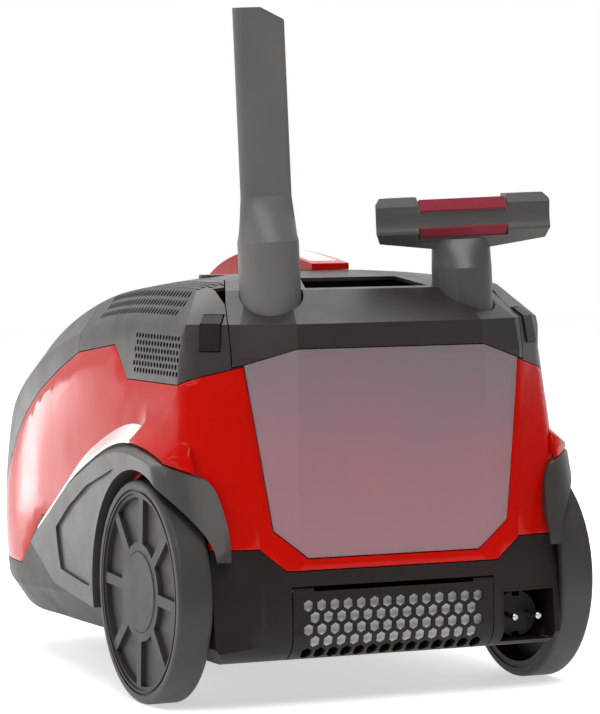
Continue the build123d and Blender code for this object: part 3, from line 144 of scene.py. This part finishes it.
def moulded(name, color, rough, grain=1400.0, depth=0.00004, spread=0.05, shade=0.12, coat=0.0, spec=0.5):
    """Moulded plastic: a fine grain, and slow changes of gloss and shade over the surface."""
    p = Paint(name)
    p.set(coat=coat, spec=spec, coat_rough=COAT_ROUGH)
    slow = p.noise(SLOW_SCALE, 3.0)
    low = tuple(c * (1 - shade) for c in color)
    high = tuple(min(1.0, c * (1 + shade)) for c in color)
    p.link(p.tint(slow, low, high), p.bsdf.inputs["Base Color"])
    p.link(p.spread(p.noise(GLOSS_SCALE, 4.0), rough - spread, rough + spread), p.bsdf.inputs["Roughness"])
    p.bump(p.noise(grain), depth, GRAIN_RISE)
    return p.mat


def metal(name, color, rough, stretch=(1, 1, 12)):
    """Brushed metal: fine lines in shade and gloss."""
    p = Paint(name)
    p.set(metal=1.0)
    lines = p.noise(BRUSHED_SCALE, 3.0, stretch)
    low = tuple(c * LINE_SHADE for c in color)
    p.link(p.tint(lines, low, color), p.bsdf.inputs["Base Color"])
    p.link(p.spread(lines, rough - 0.05, rough + 0.08), p.bsdf.inputs["Roughness"])
    p.bump(lines, LINE_DEPTH, LINE_RISE)
    return p.mat


def fibre(name, low, high, scale, depth, rough=0.9, sheen=0.6):
    """Felt, foam or filter: a rough nap between two shades."""
    p = Paint(name)
    p.set(sheen=sheen, sheen_rough=0.5, rough=rough)
    nap = p.noise(scale, 4.0)
    p.link(p.tint(nap, low, high), p.bsdf.inputs["Base Color"])
    p.bump(nap, depth, NAP_RISE)
    return p.mat


def frosted(name):
    """Milky see-through moulding, greyer at the top and warmer lower down, where painted show-through of
    the red behind it is mixed into its colour.
    """
    p = Paint(name)
    p.set(clear=0.62, ior=1.42, spec=0.45)
    axes = p.node("ShaderNodeSeparateXYZ")
    p.link(p.place, axes.inputs["Vector"])
    drift = p.node("ShaderNodeMath", operation="MULTIPLY_ADD")
    drift.inputs[1].default_value = PAINTED_SHOWTHROUGH_DRIFT
    p.link(p.noise(SLOW_SCALE), drift.inputs[0])
    p.link(axes.outputs["Z"], drift.inputs[2])
    # Painted show-through: the warm tint stands in for the red behind the tank showing through
    painted_showthrough = p.spread(drift.outputs["Value"], 1.0, 0.0, *PAINTED_SHOWTHROUGH_TOP)
    p.link(p.tint(painted_showthrough, TANK_GREY, TANK_PAINTED_SHOWTHROUGH, 0.0, 1.0), p.bsdf.inputs["Base Color"])
    p.link(p.spread(p.noise(60.0, 3.0), *TANK_ROUGH), p.bsdf.inputs["Roughness"])
    p.bump(p.noise(1800.0), 0.00003, 0.3)
    return p.mat


# One material for each slot of the record, and one more for the wheels
MATS = {
    "red_gloss": moulded("red_gloss", (0.50, 0.0045, 0.002), 0.17, 500.0, 0.00001, 0.03, 0.05, 0.06, 0.1),
    "charcoal": moulded("charcoal", (0.033, 0.0255, 0.0235), 0.38),
    "black": moulded("black", (0.0165, 0.0115, 0.0100), 0.42, spec=0.22),
    "graphite": moulded("graphite", (0.046, 0.040, 0.036), 0.38),
    "wheel_grey": moulded("wheel_grey", (0.036, 0.029, 0.025), 0.48, spec=0.26),
    "tool_grey": moulded("tool_grey", (0.150, 0.140, 0.132), 0.46, spec=0.35),
    "tool_dark": moulded("tool_dark", (0.085, 0.078, 0.073), 0.42),
    "lint_red": fibre("lint_red", (0.14, 0.004, 0.014), (0.36, 0.016, 0.042), 1600.0, 0.0004, sheen=0.2),
    "smoke_clear": frosted("smoke_clear"),
    # Accent strip: its chrome is given as pale plastic, so its white is a painted reflection of the light
    # above it
    "bright_trim": moulded("bright_trim", (0.84, 0.83, 0.82), 0.22, 900.0, 0.00001, 0.04, 0.04, 0.4),
    "steel": metal("steel", (0.72, 0.71, 0.69), 0.24),
    "tread": moulded("tread", (0.042, 0.037, 0.033), 0.5, 900.0, 0.00006, spec=0.3),
    "silver": moulded("silver", (0.74, 0.73, 0.72), 0.25, 900.0, 0.00001, 0.04, 0.04, 0.3),
    "white_filter": fibre("white_filter", (0.88, 0.88, 0.86), (0.97, 0.97, 0.95), 700.0, 0.0004, 0.85, 0.1),
    "foam": fibre("foam", (0.05, 0.05, 0.055), (0.13, 0.13, 0.14), 900.0, 0.0006),
    "rubber": moulded("rubber", (0.022, 0.021, 0.021), 0.6, 1200.0, 0.00005),
    "motor_metal": metal("motor_metal", (0.62, 0.62, 0.62), 0.36),
    "copper_core": metal("copper_core", (0.60, 0.36, 0.22), 0.34, (10, 1, 1)),
    "cord": moulded("cord", (0.02, 0.02, 0.02), 0.5),
}

for part in frame["record"]["subparts"]:
    shown = NODES[part["node"]]
    slot = part["material_slot"]
    if part["node"].startswith("wheel_") and slot == "graphite":
        slot = "wheel_grey"
    shown.data.materials.clear()
    shown.data.materials.append(MATS[slot])

# Soft folds: faces that meet at a low angle are shaded as one moulded surface
FOLD_ANGLE = {"vent_cover_left": 32, "vent_cover_right": 32, "fender_left": 40, "fender_right": 40,
              "top_cover": 24, "lower_chassis": 24, "upholstery_tool": 24}
WELD_GAP = 0.000002
EVEN_WEIGHT = 50


def soft_folds(name, degrees):
    """Weld the mesh of a node and shade its edges smooth up to an angle."""
    tree = bpy.data.node_groups.new("soft_folds_" + name, "GeometryNodeTree")
    tree.is_modifier = True
    tree.interface.new_socket("Geometry", in_out="INPUT", socket_type="NodeSocketGeometry")
    tree.interface.new_socket("Geometry", in_out="OUTPUT", socket_type="NodeSocketGeometry")
    start = tree.nodes.new("NodeGroupInput")
    end = tree.nodes.new("NodeGroupOutput")
    merge = tree.nodes.new("GeometryNodeMergeByDistance")
    merge.inputs["Distance"].default_value = WELD_GAP
    strip = tree.nodes.new("GeometryNodeRemoveAttribute")
    strip.inputs["Name"].default_value = "custom_normal"
    fold = tree.nodes.new("GeometryNodeInputMeshEdgeAngle")
    low = tree.nodes.new("FunctionNodeCompare")
    low.data_type = "FLOAT"
    low.operation = "LESS_EQUAL"
    low.inputs["B"].default_value = math.radians(degrees)
    faces = tree.nodes.new("GeometryNodeSetShadeSmooth")
    edges = tree.nodes.new("GeometryNodeSetShadeSmooth")
    edges.domain = "EDGE"
    tree.links.new(start.outputs[0], merge.inputs["Geometry"])
    tree.links.new(merge.outputs["Geometry"], strip.inputs["Geometry"])
    tree.links.new(strip.outputs["Geometry"], faces.inputs["Geometry"])
    tree.links.new(faces.outputs["Geometry"], edges.inputs["Geometry"])
    tree.links.new(fold.outputs["Unsigned Angle"], low.inputs["A"])
    tree.links.new(low.outputs["Result"], edges.inputs["Shade Smooth"])
    tree.links.new(edges.outputs["Geometry"], end.inputs[0])
    NODES[name].modifiers.new("soft_folds", "NODES").node_group = tree


for name, degrees in FOLD_ANGLE.items():
    soft_folds(name, degrees)

# The body shell blends all its faces by their size
weld = NODES["body_shell"].modifiers.new("weld", "WELD")
weld.merge_threshold = WELD_GAP
even = NODES["body_shell"].modifiers.new("even", "WEIGHTED_NORMAL")
even.weight = EVEN_WEIGHT

# Floor, backdrop light and lamps
FLOOR_HALF = 6.0
FLOOR_FRONT = -0.62
FLOOR_GLOW = 0.64
FLOOR_PALE = ((0.86, 0.86, 0.855), (0.9, 0.9, 0.895))
# Lamps: name, place, target, size in metres and power in watts
LAMPS = [
    ("lamp_front", (-0.5, -2.0, 2.5), (0, -0.1, 0.2), (1.8, 1.4), 58),
    ("lamp_left", (-2.2, -0.2, 1.7), (0, 0, 0.2), (1.2, 1.2), 10),
    ("lamp_top", (0.2, 1.2, 2.8), (0, 0.4, 0.0), (3.0, 2.4), 60),
    ("lamp_strip", (-0.43, 1.095, 0.13), (-0.148, 0.136, 0.186), (0.12, 0.24), 0.7),
]
# Light of the room by direction: Y from front to back, Z from overhead to level, dim and bright strength
BEHIND = (-0.15, 0.6)
LEVEL = (0.9, 0.62)
GLOW = (0.16, 1.05)
ROOM_TINT = (1.0, 0.992, 0.98, 1.0)


def make_floor():
    """Pale floor that glows a little, so that it runs into the white backdrop."""
    mesh = bpy.data.meshes.new("floor")
    h = FLOOR_HALF
    corners = [(-h, FLOOR_FRONT, 0), (h, FLOOR_FRONT, 0), (h, h, 0), (-h, h, 0)]
    mesh.from_pydata(corners, [], [(0, 1, 2, 3)])
    floor = bpy.data.objects.new("floor", mesh)
    bpy.context.scene.collection.objects.link(floor)
    p = Paint("studio_floor")
    p.set(rough=0.6, spec=0.3)
    pale = p.tint(p.noise(3.0), *FLOOR_PALE)
    p.link(pale, p.bsdf.inputs["Base Color"])
    p.link(pale, p.bsdf.inputs["Emission Color"])
    p.bsdf.inputs["Emission Strength"].default_value = FLOOR_GLOW
    mesh.materials.append(p.mat)


def make_lamp(name, place, target, size, power):
    """Rectangular lamp turned to its target and hidden from the camera."""
    data = bpy.data.lights.new(name, "AREA")
    data.shape = "RECTANGLE"
    data.size, data.size_y = size
    data.energy = power
    lamp = bpy.data.objects.new(name, data)
    lamp.location = place
    lamp.visible_camera = False
    lamp.rotation_euler = (Vector(target) - Vector(place)).to_track_quat("-Z", "Y").to_euler()
    bpy.context.scene.collection.objects.link(lamp)


make_floor()
for lamp_values in LAMPS:
    make_lamp(*lamp_values)


def make_world():
    """A white sweep behind and beside the object, dimmer overhead and behind the camera."""
    world = bpy.data.worlds.new("studio")
    world.use_nodes = True
    tree = world.node_tree
    room = tree.nodes["Background"]
    room.inputs["Color"].default_value = ROOM_TINT
    backdrop = tree.nodes.new("ShaderNodeBackground")
    backdrop.inputs["Color"].default_value = (1.0, 1.0, 1.0, 1.0)
    backdrop.inputs["Strength"].default_value = 1.0
    way = tree.nodes.new("ShaderNodeTexCoord")
    axes = tree.nodes.new("ShaderNodeSeparateXYZ")
    tree.links.new(way.outputs["Generated"], axes.inputs["Vector"])
    behind = tree.nodes.new("ShaderNodeMapRange")
    behind.interpolation_type = "SMOOTHSTEP"
    behind.inputs["From Min"].default_value, behind.inputs["From Max"].default_value = BEHIND
    tree.links.new(axes.outputs["Y"], behind.inputs["Value"])
    level = tree.nodes.new("ShaderNodeMapRange")
    level.interpolation_type = "SMOOTHSTEP"
    level.inputs["From Min"].default_value, level.inputs["From Max"].default_value = LEVEL
    tree.links.new(axes.outputs["Z"], level.inputs["Value"])
    both = tree.nodes.new("ShaderNodeMath")
    both.operation = "MULTIPLY"
    tree.links.new(behind.outputs["Result"], both.inputs[0])
    tree.links.new(level.outputs["Result"], both.inputs[1])
    glow = tree.nodes.new("ShaderNodeMapRange")
    glow.inputs["To Min"].default_value, glow.inputs["To Max"].default_value = GLOW
    tree.links.new(both.outputs["Value"], glow.inputs["Value"])
    tree.links.new(glow.outputs["Result"], room.inputs["Strength"])
    seen = tree.nodes.new("ShaderNodeLightPath")
    choose = tree.nodes.new("ShaderNodeMixShader")
    tree.links.new(seen.outputs["Is Camera Ray"], choose.inputs["Fac"])
    tree.links.new(room.outputs["Background"], choose.inputs[1])
    tree.links.new(backdrop.outputs["Background"], choose.inputs[2])
    tree.links.new(choose.outputs["Shader"], tree.nodes["World Output"].inputs["Surface"])
    bpy.context.scene.world = world


make_world()
bpy.context.scene.view_settings.view_transform = "Standard"
